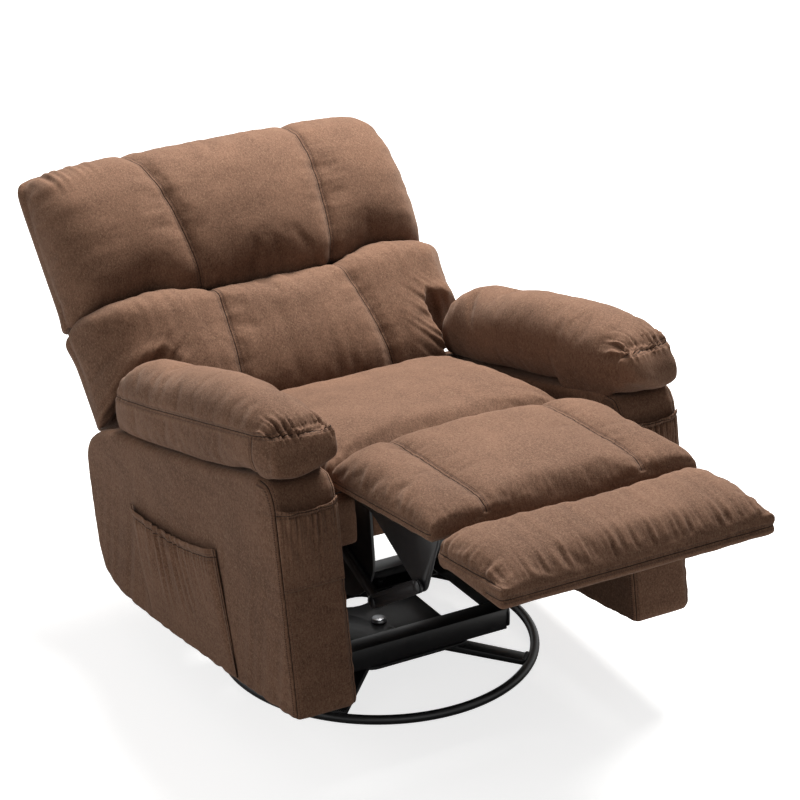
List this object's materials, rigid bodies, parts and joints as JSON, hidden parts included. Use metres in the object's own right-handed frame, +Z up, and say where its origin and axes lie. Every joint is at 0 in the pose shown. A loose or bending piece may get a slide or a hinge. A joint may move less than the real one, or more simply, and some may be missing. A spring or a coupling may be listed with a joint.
{
  "type": "swivel glider recliner",
  "caption": "Swivel glider recliner with a reclining channelled back, a folding footrest on a crank linkage, padded pocketed arms and a round floor ring base.",
  "frame": {"origin": "on the floor, under the middle of the open chair's overall box; the swivel axis stands 48 mm behind it", "axes": "+Z up; the chair faces -Y; +X is the sitter's left"},
  "size_m": [0.8306, 1.5978, 0.8061],
  "materials": {
    "upholstery": "short-napped brown suede cloth",
    "black_steel": "satin black powder coat",
    "zinc": "zinc plated",
    "spring_wire": "oiled spring wire",
    "wood": "unfinished plywood",
    "black_plastic": "moulded, satin"
  },
  "bodies": {
    "base": {"base_ring": "black_steel", "spoke_front_right": "black_steel", "spoke_rear_right": "black_steel", "spoke_rear_left": "black_steel", "spoke_front_left": "black_steel", "hub_plate": "black_steel", "lower_race": "zinc", "swivel_bolt": "zinc"},
    "swivel_carriage": {"swivel_plate": "black_steel", "front_cross_channel": "black_steel", "rear_cross_channel": "black_steel", "hanger_plate_left": "black_steel", "hanger_plate_right": "black_steel"},
    "front_links": {"front_glide_link_left": "black_steel", "front_glide_link_right": "black_steel"},
    "rear_links": {"rear_glide_link_left": "black_steel", "rear_glide_link_right": "black_steel"},
    "chair": {"side_plate_left": "black_steel", "side_plate_right": "black_steel", "front_stretcher": "black_steel", "rear_stretcher": "black_steel", "seat_rail_left": "wood", "seat_rail_right": "wood", "seat_rail_front": "wood", "seat_rail_rear": "wood", "seat_apron": "upholstery", "seat_spring_1": "spring_wire", "seat_spring_2": "spring_wire", "seat_spring_3": "spring_wire", "seat_spring_4": "spring_wire", "seat_cushion": "upholstery", "arm_left": "upholstery", "arm_right": "upholstery", "arm_pad_left": "upholstery", "arm_pad_right": "upholstery", "side_pocket_left": "upholstery", "side_pocket_right": "upholstery", "front_pocket_left": "upholstery", "front_pocket_right": "upholstery", "pull_sleeve": "black_plastic"},
    "release_pull": {"release_pull": "black_plastic"},
    "drive_tube": {"drive_tube": "black_steel"},
    "struts": {"footrest_strut_left": "black_steel", "footrest_strut_right": "black_steel"},
    "footrest": {"footrest_bracket_left": "black_steel", "footrest_bracket_right": "black_steel", "footrest_board": "wood", "footrest_pad": "upholstery", "hinge_leaf_left": "black_steel", "hinge_leaf_right": "black_steel"},
    "flap": {"flap_board": "wood", "flap_pad": "upholstery", "flap_leaf_left": "black_steel", "flap_leaf_right": "black_steel"},
    "back": {"back_bracket_left": "black_steel", "back_bracket_right": "black_steel", "back_frame": "wood", "back_shell": "upholstery", "back_cushion_upper": "upholstery", "back_cushion_lower": "upholstery"}
  },
  "joints": [
    {"name": "swivel", "type": "hinge", "parent": "base", "child": "swivel_carriage", "pos_m": [0, 0.04773, 0.04], "axis": [0, 0, 1], "continuous": true},
    {"name": "glide", "type": "hinge", "parent": "swivel_carriage", "child": "front_links", "pos_m": [0, -0.04727, 0.2], "axis": [1, 0, 0], "range_deg": [-12, 12]},
    {"name": "rear_link", "type": "hinge", "parent": "swivel_carriage", "child": "rear_links", "pos_m": [0, 0.14273, 0.2], "axis": [1, 0, 0], "range_deg": [-12, 12]},
    {"name": "body_level", "type": "hinge", "parent": "front_links", "child": "chair", "pos_m": [0, -0.04727, 0.104], "axis": [1, 0, 0], "range_deg": [-12, 12]},
    {"name": "footrest", "type": "hinge", "parent": "chair", "child": "footrest", "pos_m": [0, -0.28097, 0.50178], "axis": [1, 0, 0], "range_deg": [0, 90]},
    {"name": "drive_tube", "type": "hinge", "parent": "chair", "child": "drive_tube", "pos_m": [0, -0.1314, 0.40366], "axis": [1, 0, 0], "range_deg": [0, 90]},
    {"name": "strut", "type": "hinge", "parent": "drive_tube", "child": "struts", "pos_m": [0, -0.33177, 0.32651], "axis": [1, 0, 0], "range_deg": [-90, 0]},
    {"name": "flap", "type": "hinge", "parent": "footrest", "child": "flap", "pos_m": [0, -0.58424, 0.5515], "axis": [1, 0, 0], "range_deg": [0, 90]},
    {"name": "recline", "type": "hinge", "parent": "chair", "child": "back", "pos_m": [0, 0.22643, 0.40693], "axis": [1, 0, 0], "range_deg": [-6, 24]},
    {"name": "release_pull", "type": "slide", "parent": "chair", "child": "release_pull", "axis": [0, 0.1167, 0.9932], "range_m": [0, 0.025], "stiffness_N_per_m": 250, "springref_m": -0.004}
  ],
  "couplings": [
    {"joint": "rear_link", "follows": "glide", "ratio": 1},
    {"joint": "body_level", "follows": "glide", "ratio": -1},
    {"joint": "drive_tube", "follows": "footrest", "ratio": 1},
    {"joint": "strut", "follows": "footrest", "ratio": -1},
    {"joint": "flap", "follows": "footrest", "ratio": 1}
  ]
}
